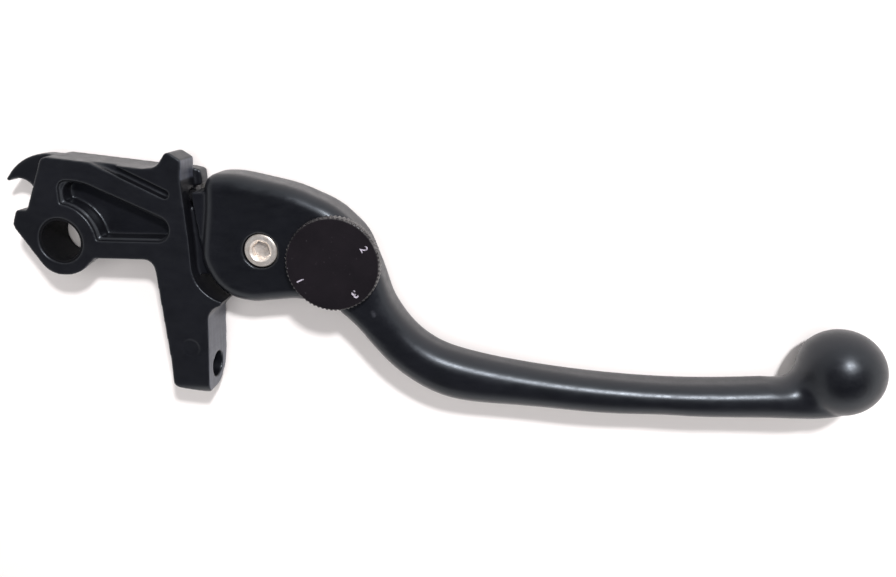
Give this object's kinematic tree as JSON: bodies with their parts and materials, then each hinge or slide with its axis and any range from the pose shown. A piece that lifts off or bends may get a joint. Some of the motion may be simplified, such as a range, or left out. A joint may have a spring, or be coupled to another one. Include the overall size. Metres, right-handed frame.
{
  "type": "clutch lever",
  "caption": "Black two piece motorcycle hand lever: pivot carrier with hook and rod leg, hinged blade with ball end, numbered dial that sets the reach.",
  "frame": {"origin": "centre of the pivot bore, half way through its length", "axes": "+Z along the pivot bore, towards the dial side; +X towards the ball end; -Y towards the handlebar"},
  "size_m": [0.2118, 0.0626, 0.0206],
  "materials": {
    "carrier_coat": "satin",
    "blade_coat": "satin",
    "dial_anodise": "satin",
    "screw_steel": "brushed",
    "hard_steel": "ground",
    "spring_steel": "drawn",
    "bronze": "turned",
    "black_polymer": "matte",
    "seal_rubber": "matte"
  },
  "bodies": {
    "root": {"lever_carrier": "carrier_coat", "pivot_bush": "black_polymer", "hinge_bush": "bronze", "cam_striker": "hard_steel", "reach_spring": "spring_steel"},
    "plunger": {"reach_plunger": "black_polymer"},
    "blade": {"lever_blade": "blade_coat", "hinge_screw": "screw_steel", "hinge_nut": "screw_steel", "hinge_shim_front": "black_polymer", "hinge_shim_rear": "black_polymer", "spindle_bush": "bronze", "detent_spring": "spring_steel"},
    "dial": {"adjuster_dial": "dial_anodise", "cam_spindle": "hard_steel", "drive_dowel": "hard_steel", "dial_seal_ring": "seal_rubber", "spindle_circlip": "spring_steel", "spindle_shim": "hard_steel"},
    "detent": {"detent_ball": "hard_steel"}
  },
  "joints": [
    {"name": "reach_hinge", "type": "hinge", "parent": "root", "child": "blade", "pos_m": [0.0497, -0.0013, 0], "axis": [0, 0, 1], "range_deg": [-7.5, 0]},
    {"name": "dial_turn", "type": "hinge", "parent": "blade", "child": "dial", "pos_m": [0.0677, -0.0034, 0], "axis": [0, 0, 1], "range_deg": [0, 300]},
    {"name": "plunger_slide", "type": "slide", "parent": "root", "child": "plunger", "axis": [1, 0, 0], "range_m": [0, 0.0016]},
    {"name": "detent_press", "type": "slide", "parent": "blade", "child": "detent", "axis": [0, 0, 1], "range_m": [0, 0.00035], "stiffness_N_per_m": 2500, "deforming": ["detent_spring"]}
  ],
  "couplings": [
    {"joint": "dial_turn", "follows": "reach_hinge", "ratio": -40},
    {"joint": "plunger_slide", "follows": "reach_hinge", "m_per_rad": -0.0119}
  ]
}
